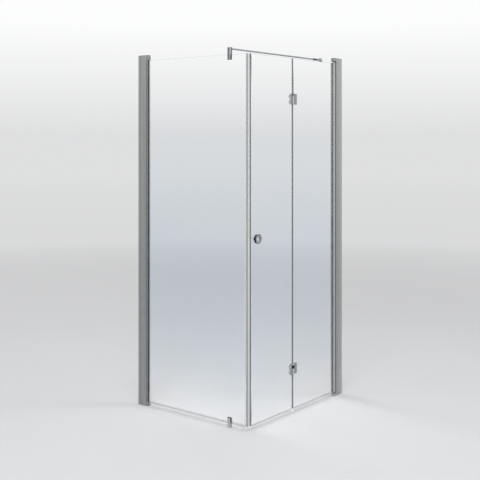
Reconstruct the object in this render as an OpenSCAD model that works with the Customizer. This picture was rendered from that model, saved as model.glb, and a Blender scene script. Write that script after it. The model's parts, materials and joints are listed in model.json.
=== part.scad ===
// Corner shower enclosure: a fixed side panel and a folding door of two glass panels.
// Every piece is drawn in one plan frame that starts at the outer corner: u runs along a side
// from the corner to its wall, v runs from the outer glass face into the shower, z is up.
// The door side lies along X. The side panel is the same frame mirrored onto Y.

/* [Enclosure] */
// Width of the door side, from the outer corner to its wall
door_side = 900; // [800:10:1100]
// Depth of the side panel, from the outer corner to its wall
side_depth = 790; // [700:10:1000]
// Height of the wall channels
overall_h = 2000; // [1800:10:2150]
// Thickness of the toughened glass
glass_t = 6; // [5:0.5:8]
// Height of the glass's bottom edge over the floor
bottom_gap = 26; // [24:1:40]
// Height of the wall channels over the glass's top edge
top_gap = 30; // [24:1:50]
// Chamfer ground on the glass edges
glass_arris = 0.8; // [0.4:0.1:1.2]

/* [Wall profiles] */
// Depth of a wall channel, off its wall
channel_d = 60; // [50:1:80]
// Thickness of the profiles, square to the glass
profile_w = 26; // [24:1:34]
// Wall of the wall channels
channel_wall = 2; // [1.5:0.1:3]
// Wall of the profiles that slide in the channels
insert_wall = 1.8; // [1.4:0.1:2.5]
// Rounding of the profiles' front corners
nose_round = 1.6; // [1:0.1:2.4]
// Depth of the flutes in the wall channels' faces
flute_d = 0.8; // [0.4:0.1:1]
// Width of the flutes in the wall channels' faces
flute_w = 2.4; // [1.6:0.1:4]
// Distance of the front flute behind the channel's front
front_flute = 10; // [7:0.5:16]
// Distance of the back flute off the wall
back_flute = 22; // [14:0.5:26]
// Clearance between a sliding profile and its channel
slide_gap = 0.3; // [0.1:0.1:0.6]
// Width of the shadow groove between the side panel's profile and its channel
groove_w = 6; // [2:0.5:8]
// Length of a sliding profile inside its channel
insert_hold = 39; // [30:1:46]
// Length of the side panel's profile outside its channel
side_reveal = 13; // [12:1:22]
// Depth of the glass pocket in the side panel's profile
pocket_d = 22; // [16:1:24]
// Thickness of the glazing gaskets
gasket_t = 2.2; // [1.5:0.1:3]
// Depth of the side panel's glazing gaskets in their pocket
gasket_d = 11; // [8:0.5:12]
// Number of wall screw holes in each channel
wall_holes = 4; // [2:1:6]
// Diameter of the wall screw holes
wall_hole_d = 5; // [4:0.5:7]
// Distance of the end wall screw holes from the channel's ends
wall_hole_end = 200; // [100:10:300]
// Number of adjusting screws on each profile
adjust_screws = 3; // [2:1:5]
// Diameter of the adjusting screws
adjust_d = 4; // [3:0.5:5]

/* [Door pivot] */
// Length of the pivot profile in front of its axis
pivot_nose = 15; // [14:0.5:24]
// Running gap between the pivot profile's round back and the door's wall channel
pivot_gap = 1.5; // [1:0.1:2.5]
// Running gap between the pivot profile and the soft seal behind it
gap_seal_gap = 0.8; // [0.5:0.1:1.2]
// Diameter of the pivot pins
pin_d = 8; // [6:0.5:9]
// Length of a pivot pin pressed into the profile
pin_hold = 30; // [20:1:40]
// Length of a pivot pin in its bush
pin_reach = 12; // [8:0.5:12]
// Wall of the pivot bushes
bush_wall = 3; // [2:0.5:4]
// Gap between the pivot blocks and the pivot profile, where the pins' collars show
block_gap = 8; // [6:0.5:9]
// Thickness of the pivot bushes' flanges
bush_flange = 1.6; // [1:0.1:2]

/* [Folding door] */
// Distance of the folding seam from the outer corner
seam_u = 397.5; // [360:0.5:420]
// Gap between the glass edges at the seam
seam_gap = 11; // [10:0.5:14]
// Distance of the fold axis in front of the outer glass face
fold_out = 7; // [6.5:0.1:9]
// Distance of the lower hinge's centre from the glass's bottom edge
hinge_low = 222; // [150:1:300]
// Distance of the upper hinge's centre from the glass's top edge
hinge_high = 227; // [150:1:300]
// Height of a hinge
hinge_h = 60; // [50:1:80]
// Reach of the wall panel's hinge plates from the fold axis
wall_reach = 39; // [32:0.5:50]
// Reach of the leading panel's hinge plates from the fold axis
lead_reach = 27; // [26:0.5:50]
// Thickness of the outer hinge plates
plate_t = 5.8; // [5:0.1:6.3]
// Thickness of the inner hinge discs
disc_t = 3; // [2.8:0.1:4]
// Radius of the inner hinge discs
disc_r = 8; // [7.5:0.5:9]
// Radius of the hinge knuckles
knuckle_r = 6; // [5:0.1:6.4]
// Height of the middle hinge knuckle
knuckle_h = 22; // [14:1:28]
// Diameter of the hinge pins
hinge_pin_d = 6; // [4:0.5:7]
// Distance of the wall panel's hinge screws from the fold axis
wall_hole_off = 20; // [19:0.5:26]
// Distance of the leading panel's hinge screws from the fold axis
lead_hole_off = 18.5; // [18:0.5:26]
// Spacing of the two screws in a hinge plate
hinge_screw_gap = 32; // [26:1:40]
// Diameter of the hinge and knob holes in the glass
glass_hole_d = 12; // [11:0.5:14]
// Thickness of the pads between hinges and glass
pad_thin = 0.7; // [0.5:0.1:1.2]
// Diameter of the hinge screws
hinge_screw_d = 5; // [4:0.5:6]

/* [Seals] */
// Wall of the soft seals
seal_wall = 1.2; // [0.8:0.1:1.5]
// Grip of the soft seals on the glass
seal_grip = 10; // [7:0.5:14]
// Distance of the side glass's edge from the outer corner
side_edge_u = 12; // [11:0.5:16]
// Distance of the door glass's edge from the outer corner
door_edge_u = 22; // [20:0.5:26]
// Gap between the two closed magnet seals
magnet_gap = 0.8; // [0.7:0.1:1.2]
// Side of the square magnet strips
magnet_w = 4.6; // [3.6:0.1:4.8]
// Height of the bottom seals' lips over the floor
lip_z = 10; // [6:1:16]

/* [Knob] */
// Distance of the knob from the outer corner
knob_u = 76; // [60:1:110]
// Radius of the outer knob
knob_r = 27; // [22:0.5:32]
// Depth of the outer knob
knob_h = 12; // [10:0.5:12.5]
// Radius of the inner knob
inner_knob_r = 13; // [12:0.5:27]
// Depth of the inner knob
inner_knob_h = 8; // [7:0.5:12]
// Depth of the finger groove around the outer knob
groove_d = 1.6; // [1:0.1:2.2]
// Depth of the dish in the outer knob's face
dish_d = 2.4; // [1:0.1:3]
// Thickness of the knobs' washers
washer_t = 1; // [0.5:0.1:1.3]
// Diameter of the stud that joins the two knobs
stud_d = 6; // [5:0.5:8]

/* [Clamp, bracket and bar] */
// Distance of the clamp and the floor bracket from the outer corner
clamp_u = 124; // [90:1:160]
// Width of the clamp and the bracket
clamp_w = 25; // [20:0.5:30]
// Reach of the outer jaws from the glass
jaw_out = 4; // [3.5:0.5:9]
// Reach of the inner jaws from the glass
jaw_in = 4; // [3.5:0.5:9]
// Grip of the clamp on the glass
jaw_grip = 28; // [20:1:40]
// Grip of the bracket on the glass
bracket_grip = 25.5; // [18:0.5:40]
// Thickness of the clamp pads
clamp_pad_t = 1; // [0.8:0.1:1.4]
// Chamfer on the clamp, the bracket and the hinge plates
edge_chamfer = 1.2; // [0.6:0.1:1.6]
// Rounding of the clamp's and the bracket's upright edges
jaw_round = 3.5; // [2:0.5:5]
// Rounding of the hinge plates' corners
plate_round = 3; // [2:0.5:5]
// Height of the bar's axis over the glass
bar_rise = 31; // [20:1:40]
// Diameter of the stabiliser bar
bar_d = 10; // [8:0.5:12]
// Wall of the stabiliser bar
bar_wall = 1.5; // [1:0.1:2]
// Distance of the bar's wall end from the door's outer face
bar_wall_v = 142; // [110:1:200]
// Length of the sleeve that takes the bar's wall end
sleeve_l = 42; // [24:1:60]
// Radius of the sleeve
sleeve_r = 7; // [6.8:0.1:9]
// Depth of the bar in the sleeve
sleeve_hold = 32; // [14:1:50]
// Radius of the wall flange
flange_r = 13; // [12:0.5:18]
// Thickness of the wall flange
flange_t = 8; // [4:0.5:10]
// Length of the wall flange's neck
neck_l = 18; // [6:1:22]
// Radius of the wall flange's neck
neck_r = 6; // [5.5:0.1:6.2]
// Spacing of the two screw holes in the wall flange
flange_hole_gap = 18; // [17:0.5:24]
// Diameter of the screw holes in the wall flange
flange_hole_d = 3.4; // [3:0.2:4]

/* [Hidden] */
$fn = 48;

// colours
chrome = [0.74, 0.75, 0.76];
satin = [0.66, 0.67, 0.68];
glass = [0.82, 0.90, 0.92, 0.35];
clear_pvc = [0.80, 0.82, 0.84];
smoke_pvc = [0.45, 0.47, 0.49];
rubber = [0.16, 0.16, 0.17];
steel = [0.60, 0.61, 0.62];

// clearances and small steps
eps = 1;               // how far a cut runs past the face that it opens
press_gap = 0.02;      // a pressed or threaded fit
run_gap = 0.05;        // a running fit, on the radius
soft_gap = 0.4;        // a soft piece beside its neighbour
end_gap = 1;           // a pane's edge short of its pocket's floor
shadow_gap = 0.5;      // a hinge plate beside its neighbour's knuckle
tip_gap = 0.5;         // a screw's end short of its hole's floor, or under its face

// heights
glass_z0 = bottom_gap;
glass_z1 = overall_h - top_gap;
glass_h = glass_z1 - glass_z0;
profile_z0 = bottom_gap - 2;
profile_z1 = glass_z1 + 2;
profile_h = profile_z1 - profile_z0;
knob_z = (glass_z0 + glass_z1) / 2;
hinge_z = [glass_z0 + hinge_low, glass_z1 - hinge_high];
bar_z = glass_z1 + bar_rise;

// plan places
mid = glass_t / 2;
out_v = mid - profile_w / 2;
in_v = mid + profile_w / 2;
insert_inset = channel_wall + slide_gap;
side_front = side_depth - channel_d;
side_nose = side_front - side_reveal;
door_front = door_side - channel_d;
pivot_r = profile_w / 2;
pivot_u = door_front - pivot_r - pivot_gap;
boss_r = pin_d / 2 + 2.5;
bush_flange_r = boss_r + 1;
wall_edge_u = seam_u + seam_gap / 2;
lead_edge_u = seam_u - seam_gap / 2;
pane_end_u = pivot_u - boss_r - end_gap;
pivot_gasket_d = pivot_nose - boss_r - end_gap;
pivot_cover_v = out_v / 2;

// screws
socket_d = 2;          // depth of a hexagon socket
grub_socket_d = 1.2;   // depth of a grub screw's hexagon socket
head_h = 2;            // height of an adjusting screw's head
head_grow = 4;         // how much wider than its screw a head is
adjust_tip = 2;        // length of an adjusting screw inside the sliding profile
adjust_back = 20;      // distance of the adjusting screws from the channel's front
adjust_end = 120;      // distance of the end adjusting screws from the channel's ends
screw_skin = 1.5;      // metal left in front of a hinge screw's hole
disc_edge = 0.8;       // chamfer on the inner hinge discs
pin_inset = 1;         // distance of a hinge pin's ends from the hinge's ends
grub_d = 5;            // diameter of the clamp's grub screws
bar_grub_d = 4;        // diameter of the grub screws that lock the bar

// seals
gasket_lip = gasket_t / 2;  // thickness of a gasket's lip
head_v = 8;            // reach of the side magnet seal's head over the door's inner face
magnet_face_u = 9.6;   // contact face of the side magnet seal
door_head_u = magnet_face_u + magnet_gap;
magnet_skin = 0.7;     // soft wall in front of a magnet
blade_t = 1.4;         // thickness of a bottom seal's lips
drip_out = 5;          // how far a drip lip leans into the shower
drip_drop = 8;         // height of a drip lip

// knob
knob_rim = 2;          // radius of the outer knob's rounded rim
groove_r = 7;          // radius of the finger groove's curve
dish_share = 0.55;     // share of a knob's radius that its dish takes
stud_share = 0.58;     // share of a knob's depth that the stud takes

// clamp, bracket and bar
clamp_cover = 2.5;     // metal over the bar's hole in the clamp
clamp_z0 = glass_z1 - jaw_grip;
clamp_top = bar_z + bar_d / 2 + clamp_cover;
bracket_top = glass_z0 + bracket_grip;
grub_face_v = glass_t + jaw_in - tip_gap;
bar_inset = 2;         // how far the bar stops short of the clamp's outer face
pin_over = 9;          // distance of the flange's pin from its neck
tongue_t = 4;          // thickness of the sleeve's tongue
ear_t = 2.5;           // thickness of the flange's two ears
ear_r = 4.5;           // radius of the ears' round ends
ear_gap = 0.2;         // gap between the tongue and an ear
tongue_r = 4;          // half the tongue's width
sleeve_nose = 4;       // length of the sleeve's cone
flange_round = 1.2;    // rounding of the flange's rim
flange_pin_d = 3.5;    // diameter of the flange's pin
tongue_l = 9;          // distance of the sleeve's body from the pin
floor_hole_d = 4.5;    // diameter of the bracket's floor screw hole
floor_head_d = 8;      // diameter of the floor screw's countersink

pin_off = flange_t + neck_l + pin_over;
bar_run = door_side - pin_off - mid;
bar_angle = atan2(bar_wall_v - clamp_u, bar_run);
bar_l = sqrt(pow(bar_run, 2) + pow(bar_wall_v - clamp_u, 2));
sleeve_end = bar_l - tongue_l - sleeve_l;

// the row frame's origin is the centre of the footprint
front_reach = max(washer_t + knob_h, fold_out + knuckle_r);
centre_x = (door_side + min(out_v, -jaw_out)) / 2;
centre_y = (side_depth - front_reach) / 2;

module at_door() translate([-centre_x, -centre_y, 0]) children();

module at_side() translate([-centre_x, -centre_y, 0]) mirror([1, -1, 0]) children();

module rect(u0, v0, u1, v1) translate([u0, v0]) square([u1 - u0, v1 - v0]);

module up(z0, z1) translate([0, 0, z0]) linear_extrude(z1 - z0) children();

// a rectangle with round corners
module soft_rect(w, h, r) {
    rect(r, 0, w - r, h);
    rect(0, r, w, h - r);
    for (x = [r, w - r], y = [r, h - r]) translate([x, y]) circle(r);
}

// a profile's outline that is round at its front end, u0
module nose_rect(u0, v0, u1, v1) {
    rect(u0 + nose_round, v0, u1, v1);
    rect(u0, v0 + nose_round, u1, v1 - nose_round);
    for (v = [v0 + nose_round, v1 - nose_round]) translate([u0 + nose_round, v]) circle(nose_round);
}

// a rectangle with chamfered corners
module cut_rect(w, h, c) {
    polygon([[c, 0], [w - c, 0], [w, c], [w, h - c], [w - c, h], [c, h], [0, h - c], [0, c]]);
}

// a block with round upright edges and chamfered ends
module upright_block(size) {
    intersection() {
        linear_extrude(size[2]) soft_rect(size[0], size[1], jaw_round);
        translate([0, size[1], 0]) rotate([90, 0, 0])
            linear_extrude(size[1]) cut_rect(size[0], size[2], edge_chamfer);
        rotate([90, 0, 90]) linear_extrude(size[0]) cut_rect(size[1], size[2], edge_chamfer);
    }
}

// a plate with round corners and chamfered edges
module plate_block(size) {
    intersection() {
        linear_extrude(size[2]) cut_rect(size[0], size[1], edge_chamfer);
        translate([0, size[1], 0]) rotate([90, 0, 0])
            linear_extrude(size[1]) soft_rect(size[0], size[2], plate_round);
        rotate([90, 0, 90]) linear_extrude(size[0]) cut_rect(size[1], size[2], edge_chamfer);
    }
}

// a round bar along v, from v0 to v1
module v_bar(u, z, r, v0, v1) translate([u, v0, z]) rotate([-90, 0, 0]) cylinder(r = r, h = v1 - v0);

// a round bar along u, from u0 to u1
module u_bar(v, z, r, u0, u1) translate([u0, v, z]) rotate([0, 90, 0]) cylinder(r = r, h = u1 - u0);

// a hexagon socket's hole, along +z
module hex_socket(d, depth) cylinder(d = d * 0.6, h = depth + eps, $fn = 6);

// glass

module pane(u0, u1) {
    intersection() {
        up(glass_z0, glass_z1) translate([u0, 0]) cut_rect(u1 - u0, glass_t, glass_arris);
        translate([u0, 0, glass_z0]) rotate([90, 0, 90])
            linear_extrude(u1 - u0) cut_rect(glass_t, glass_h, glass_arris);
    }
}

// wall channels and sliding profiles

// a flute's cut in the outer and the inner face
module flute_pair(u) {
    base_w = flute_w - flute_d;
    face = profile_w / 2;
    for (turn = [0, 180])
        translate([u, mid]) rotate(turn) polygon([
            [-base_w / 2, face - flute_d], [base_w / 2, face - flute_d],
            [flute_w / 2, face], [flute_w / 2, face + eps],
            [-flute_w / 2, face + eps], [-flute_w / 2, face]
        ]);
}

module channel_section(wall_u) {
    difference() {
        nose_rect(wall_u - channel_d, out_v, wall_u, in_v);
        rect(wall_u - channel_d - eps, out_v + channel_wall,
             wall_u - channel_wall, in_v - channel_wall);
        flute_pair(wall_u - channel_d + front_flute);
        flute_pair(wall_u - back_flute);
    }
}

function wall_hole_z(i) =
    wall_hole_end + i * (overall_h - 2 * wall_hole_end) / (wall_holes - 1);

function adjust_z(i) =
    adjust_end + i * (overall_h - 2 * adjust_end) / (adjust_screws - 1);

module wall_channel(wall_u) {
    difference() {
        up(0, overall_h) channel_section(wall_u);
        for (i = [0 : wall_holes - 1])
            u_bar(mid, wall_hole_z(i), wall_hole_d / 2, wall_u - channel_wall - eps, wall_u + eps);
        adjust_holes(wall_u - channel_d, in_v - channel_wall - eps, in_v + eps);
    }
}

module adjust_holes(front_u, v0, v1) {
    for (i = [0 : adjust_screws - 1])
        v_bar(front_u + adjust_back, adjust_z(i), adjust_d / 2 + press_gap, v0, v1);
}

module adjusting_screws(front_u) {
    for (i = [0 : adjust_screws - 1]) {
        difference() {
            union() {
                v_bar(front_u + adjust_back, adjust_z(i), adjust_d / 2,
                      in_v - insert_inset - insert_wall - adjust_tip, in_v + eps / 2);
                v_bar(front_u + adjust_back, adjust_z(i), (adjust_d + head_grow) / 2,
                      in_v, in_v + head_h);
            }
            translate([front_u + adjust_back, in_v + head_h - socket_d + tip_gap, adjust_z(i)])
                rotate([-90, 0, 0]) hex_socket(adjust_d + head_grow / 2, socket_d);
        }
    }
}

module insert_rect(u0, u1) rect(u0, out_v + insert_inset, u1, in_v - insert_inset);

module insert_chamber(u0, u1) {
    rect(u0, out_v + insert_inset + insert_wall, u1, in_v - insert_inset - insert_wall);
}

module side_insert_section() {
    insert_back = side_front + insert_hold;
    difference() {
        union() {
            nose_rect(side_nose, out_v, side_front - groove_w, in_v);
            insert_rect(side_front - groove_w - eps, insert_back);
        }
        rect(side_nose - eps, -gasket_t, side_nose + pocket_d, glass_t + gasket_t);
        insert_chamber(side_nose + pocket_d + insert_wall, insert_back - insert_wall);
    }
}

// a glazing gasket beside the outer glass face, with a lip in front of its pocket's mouth
module gasket_section(mouth_u, depth) {
    polygon([
        [mouth_u + depth, 0], [mouth_u + depth, -gasket_t + gasket_lip / 2],
        [mouth_u + depth - gasket_lip, -gasket_t], [mouth_u - gasket_lip, -gasket_t],
        [mouth_u - 2 * gasket_lip, -gasket_lip / 2], [mouth_u - 2 * gasket_lip, 0]
    ]);
}

// the outer gasket's lip also covers the profile's end, as far as cover_v
module outer_gasket(mouth_u, depth, cover_v) {
    up(profile_z0, profile_z1) {
        gasket_section(mouth_u, depth);
        polygon([
            [mouth_u, -gasket_lip], [mouth_u, cover_v],
            [mouth_u - gasket_lip, cover_v + gasket_lip / 2], [mouth_u - gasket_lip, -gasket_lip]
        ]);
    }
}

module inner_gasket(mouth_u, depth) {
    up(profile_z0, profile_z1)
        translate([0, glass_t]) mirror([0, 1]) gasket_section(mouth_u, depth);
}

module side_cap(z0, z1) {
    up(z0, z1) {
        nose_rect(side_nose, out_v, side_front, in_v);
        insert_rect(side_front, side_front + insert_hold);
    }
}

// seals

// the part of a soft seal that grips a glass edge at edge_u, with the glass beyond it
module grip_section(edge_u) {
    difference() {
        rect(edge_u - seal_wall, -seal_wall, edge_u + seal_grip, glass_t + seal_wall);
        rect(edge_u, 0, edge_u + seal_grip + eps, glass_t);
    }
}

module magnet_square(face_u, side) {
    u0 = face_u + side * magnet_skin;
    translate([min(u0, u0 + side * magnet_w), mid - magnet_w / 2]) square(magnet_w);
}

module side_seal_section() {
    difference() {
        union() {
            grip_section(side_edge_u);
            rect(head_v - seal_wall, -seal_wall, side_edge_u - seal_wall, glass_t + seal_wall);
        }
        rect(head_v, 0, side_edge_u - 2 * seal_wall, glass_t);
    }
}

// the side seal's head carries its magnet round the corner, facing along the door
module side_seal_head() {
    difference() {
        rect(-seal_wall, -seal_wall, magnet_face_u, head_v);
        magnet_square(magnet_face_u, -1);
        rect(seal_wall, mid - magnet_w / 2,
             magnet_face_u - magnet_skin - magnet_w - seal_wall, head_v - seal_wall);
    }
}

module door_seal_section() {
    difference() {
        union() {
            grip_section(door_edge_u);
            rect(door_head_u, -seal_wall, door_edge_u - seal_wall, glass_t + seal_wall);
        }
        magnet_square(door_head_u, 1);
        rect(door_head_u + magnet_skin + magnet_w + seal_wall, 0,
             door_edge_u - 2 * seal_wall, glass_t);
    }
}

// a bottom seal's section, drawn with v across and z up: it grips the glass's edge and has a
// straight lip under the glass and a drip lip that leans into the shower
module bottom_seal_section() {
    grip_z = glass_z0 + seal_grip;
    web_z = glass_z0 - seal_wall;
    drip_z = web_z - drip_drop;
    polygon([
        [-seal_wall, grip_z], [0, grip_z], [0, glass_z0],
        [glass_t, glass_z0], [glass_t, grip_z], [glass_t + seal_wall, grip_z],
        [glass_t + seal_wall, web_z], [glass_t, web_z],
        [glass_t + drip_out, drip_z], [glass_t + drip_out - blade_t, drip_z],
        [glass_t - blade_t, web_z], [blade_t, web_z],
        [blade_t, lip_z], [0, lip_z],
        [0, web_z], [-seal_wall, web_z]
    ]);
}

module along_u(u0, u1) translate([u0, 0, 0]) rotate([90, 0, 90]) linear_extrude(u1 - u0) children();

module bottom_seal(u0, u1) along_u(u0, u1) bottom_seal_section();

// hinges

module knuckle(z0, z1) up(z0, z1) translate([seam_u, -fold_out]) circle(knuckle_r);

// the arm that joins a plate to one of its knuckles
module knuckle_arm(u_plate, z0, z1) {
    up(z0, z1) rect(min(u_plate, seam_u), -pad_thin - plate_t,
                    max(u_plate, seam_u), -pad_thin - shadow_gap);
}

// u of a hinge plate's edge beside the fold axis; side is -1 for the leading panel
function plate_near(side) = seam_u + side * (knuckle_r + shadow_gap);
function plate_far(side) = seam_u + side * (side < 0 ? lead_reach : wall_reach);
function hinge_hole_u(side) = seam_u + side * (side < 0 ? lead_hole_off : wall_hole_off);

module plate(side, z, v0, v1) {
    u0 = min(plate_near(side), plate_far(side));
    u1 = max(plate_near(side), plate_far(side));
    translate([u0, v0, z - hinge_h / 2]) plate_block([u1 - u0, v1 - v0, hinge_h]);
}

module hinge_holes(side, z, r, v0, v1) {
    for (dz = [-1, 1])
        v_bar(hinge_hole_u(side), z + dz * hinge_screw_gap / 2, r, v0, v1);
}

// the knuckles' heights over the hinge's centre, as [low, high] pairs
mid_knuckle = [[-knuckle_h / 2, knuckle_h / 2]];
end_knuckles = [[-hinge_h / 2, -knuckle_h / 2 - shadow_gap],
                [knuckle_h / 2 + shadow_gap, hinge_h / 2]];

module hinge_leaf(side, z, knuckles) {
    difference() {
        union() {
            plate(side, z, -pad_thin - plate_t, -pad_thin);
            for (k = knuckles) {
                knuckle(z + k[0], z + k[1]);
                knuckle_arm(plate_near(side) + side * plate_round, z + k[0], z + k[1]);
            }
        }
        translate([seam_u, -fold_out, z - hinge_h / 2 - eps])
            cylinder(r = hinge_pin_d / 2 + run_gap, h = hinge_h + 2 * eps);
        hinge_holes(side, z, hinge_screw_d / 2 + press_gap, -pad_thin - plate_t + screw_skin, eps);
    }
}

// the round disc behind one hinge screw, drawn with its screw along z
module hinge_disc() {
    difference() {
        union() {
            cylinder(r = disc_r, h = disc_t - disc_edge);
            translate([0, 0, disc_t - disc_edge])
                cylinder(r1 = disc_r, r2 = disc_r - disc_edge, h = disc_edge);
        }
        translate([0, 0, -eps]) cylinder(r = hinge_screw_d / 2 + run_gap, h = disc_t + 2 * eps);
        translate([0, 0, disc_t - hinge_screw_d / 2])
            cylinder(r1 = hinge_screw_d / 2 + run_gap, r2 = hinge_screw_d + run_gap,
                     h = hinge_screw_d / 2);
    }
}

module hinge_discs(side) {
    for (z = hinge_z, dz = [-1, 1])
        translate([hinge_hole_u(side), glass_t + pad_thin, z + dz * hinge_screw_gap / 2])
            rotate([-90, 0, 0]) hinge_disc();
}

// the pad under one plate, with collars that line the glass holes to half their depth
module plate_pad(side, z) {
    u0 = min(plate_near(side), plate_far(side)) + edge_chamfer;
    u1 = max(plate_near(side), plate_far(side)) - edge_chamfer;
    low_z = z - hinge_h / 2 + edge_chamfer;
    difference() {
        union() {
            translate([u0, -pad_thin, low_z])
                cube([u1 - u0, pad_thin, hinge_h - 2 * edge_chamfer]);
            hinge_holes(side, z, glass_hole_d / 2 - run_gap, -pad_thin, mid - run_gap);
        }
        hinge_holes(side, z, hinge_screw_d / 2 + run_gap, -pad_thin - eps, mid + eps);
    }
}

// the pads under a hinge's discs, with the same collars
module disc_pads(side, z) {
    difference() {
        union() {
            hinge_holes(side, z, disc_r - disc_edge, glass_t, glass_t + pad_thin);
            hinge_holes(side, z, glass_hole_d / 2 - run_gap, mid + run_gap, glass_t + pad_thin);
        }
        hinge_holes(side, z, hinge_screw_d / 2 + run_gap, mid - eps, glass_t + pad_thin + eps);
    }
}

module hinge_pads(side) {
    for (z = hinge_z) {
        plate_pad(side, z);
        disc_pads(side, z);
    }
}

module hinge_screws(side) {
    face_v = glass_t + pad_thin + disc_t;
    for (z = hinge_z, dz = [-1, 1]) {
        difference() {
            union() {
                v_bar(hinge_hole_u(side), z + dz * hinge_screw_gap / 2, hinge_screw_d / 2,
                      -pad_thin - plate_t + screw_skin + tip_gap, face_v - eps / 2);
                translate([hinge_hole_u(side), face_v, z + dz * hinge_screw_gap / 2])
                    rotate([90, 0, 0])
                        cylinder(r1 = hinge_screw_d, r2 = hinge_screw_d / 2, h = hinge_screw_d / 2);
            }
            translate([hinge_hole_u(side), face_v - socket_d, z + dz * hinge_screw_gap / 2])
                rotate([-90, 0, 0]) hex_socket(hinge_screw_d, socket_d);
        }
    }
}

// pivot

module pivot_section() {
    difference() {
        union() {
            translate([pivot_u, mid]) circle(pivot_r);
            nose_rect(pivot_u - pivot_nose, out_v, pivot_u, in_v);
        }
        rect(pivot_u - pivot_nose - eps, -gasket_t, pivot_u - boss_r, glass_t + gasket_t);
        difference() {
            translate([pivot_u, mid]) circle(pivot_r - insert_wall);
            translate([pivot_u, mid]) circle(boss_r);
            rect(pivot_u - pivot_r, out_v, pivot_u, in_v);
            rect(pivot_u, mid - insert_wall / 2, pivot_u + pivot_r, mid + insert_wall / 2);
        }
    }
}

module carrier_section() {
    carrier_back = door_front + insert_hold;
    difference() {
        insert_rect(door_front, carrier_back);
        insert_chamber(door_front + insert_wall, carrier_back - insert_wall);
    }
}

// the soft seal on the carrier's front, hollowed to the pivot profile's round back
module gap_seal_section() {
    difference() {
        rect(pivot_u, out_v + soft_gap, door_front, -seal_wall);
        translate([pivot_u, mid]) circle(pivot_r + gap_seal_gap);
    }
}

// a pivot block, drawn for the bottom: it carries the bush under the pivot profile
module pivot_block(h) {
    difference() {
        union() {
            up(0, h - block_gap) {
                rect(pivot_u - pivot_nose + end_gap, out_v, pivot_u, mid);
                translate([pivot_u, mid]) circle(pivot_r);
                rect(pivot_u, out_v, door_front, in_v);
            }
            up(0, h) insert_rect(door_front - eps, door_front + insert_hold);
        }
        translate([pivot_u, mid, h - block_gap - pin_reach - eps])
            cylinder(r = pin_d / 2 + bush_wall + press_gap, h = pin_reach + 2 * eps);
    }
}

module pivot_bush(h) {
    top_z = h - block_gap;
    difference() {
        translate([pivot_u, mid, 0]) {
            translate([0, 0, top_z - pin_reach]) cylinder(r = pin_d / 2 + bush_wall, h = pin_reach);
            translate([0, 0, top_z]) cylinder(r = bush_flange_r, h = bush_flange);
        }
        translate([pivot_u, mid, top_z - pin_reach - eps])
            cylinder(r = pin_d / 2 + run_gap, h = pin_reach + block_gap + 2 * eps);
    }
}

// a pin with a collar that stands on the bush and carries the profile
module pivot_pin(h) {
    translate([pivot_u, mid, h - block_gap - pin_reach])
        cylinder(d = pin_d, h = pin_reach + block_gap + pin_hold);
    translate([pivot_u, mid, h - block_gap + bush_flange + run_gap])
        cylinder(r = boss_r, h = block_gap - bush_flange - run_gap);
}

// places a piece drawn for the bottom at the top of the door
module at_top() translate([0, 0, overall_h]) mirror([0, 0, 1]) children();

// knob

// half section of a knob of radius r and depth h: x is the radius, y the height over the washer;
// part is its depth as a share of the outer knob's, which its rim and groove follow
module knob_section(r, h, part) {
    rim = knob_rim * part;
    difference() {
        union() {
            square([r - rim, h]);
            square([r, h - rim]);
            translate([r - rim, h - rim]) circle(rim);
        }
        translate([r + (groove_r - groove_d) * part, (h - rim) / 2]) circle(groove_r * part);
    }
}

module knob(r, h) {
    // the dish is part of a ball that meets the face on a circle of radius dish_r
    dish_r = r * dish_share;
    depth = dish_d * r / knob_r;
    ball_r = (pow(dish_r, 2) + pow(depth, 2)) / (2 * depth);
    difference() {
        rotate_extrude() knob_section(r, h, h / knob_h);
        translate([0, 0, h + ball_r - depth]) sphere(ball_r, $fn = 96);
        translate([0, 0, -eps]) cylinder(r = stud_d / 2 + press_gap, h = h * stud_share + eps);
    }
}

module at_outer_knob() translate([knob_u, -washer_t, knob_z]) rotate([90, 0, 0]) children();

module at_inner_knob() translate([knob_u, glass_t + washer_t, knob_z]) rotate([-90, 0, 0]) children();

// a disc with a collar that lines the glass hole to half its depth
module knob_washer(r) {
    difference() {
        union() {
            cylinder(r = r, h = washer_t);
            translate([0, 0, run_gap - mid])
                cylinder(r = glass_hole_d / 2 - run_gap, h = mid - run_gap + washer_t);
        }
        translate([0, 0, -mid - eps]) cylinder(r = stud_d / 2 + run_gap, h = mid + washer_t + 2 * eps);
    }
}

// clamp, bracket and bar, drawn beside the side panel

module jaw_block(z0, z1) {
    translate([clamp_u - clamp_w / 2, -jaw_out, z0])
        upright_block([clamp_w, jaw_out + glass_t + jaw_in, z1 - z0]);
}

// the room for the glass and its pad between the jaws
module jaw_slot(z0, z1) {
    translate([clamp_u - clamp_w / 2 - eps, -clamp_pad_t, z0])
        cube([clamp_w + 2 * eps, glass_t + 2 * clamp_pad_t, z1 - z0]);
}

// the grub screws in an inner jaw, which press on the pad
module jaw_grubs(zs) {
    for (z = zs)
        difference() {
            v_bar(clamp_u, z, grub_d / 2, glass_t + clamp_pad_t + run_gap, grub_face_v);
            translate([clamp_u, grub_face_v - grub_socket_d, z]) rotate([-90, 0, 0])
                hex_socket(grub_d, grub_socket_d);
        }
}

module jaw_grub_holes(zs) {
    for (z = zs) v_bar(clamp_u, z, grub_d / 2 + press_gap, glass_t, glass_t + jaw_in + eps);
}

clamp_grub_z = [clamp_z0 + jaw_grip * 0.3, clamp_z0 + jaw_grip * 0.7];
bracket_grub_z = [glass_z0 + bracket_grip * 0.3, glass_z0 + bracket_grip * 0.7];

// the bar's own frame: x along the bar from the clamp's middle to the flange's pin
module along_bar() {
    translate([-centre_x + mid, -centre_y + clamp_u, bar_z]) rotate([0, 0, bar_angle]) children();
}

module x_bar(r, x0, x1) translate([x0, 0, 0]) rotate([0, 90, 0]) cylinder(r = r, h = x1 - x0);

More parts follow.
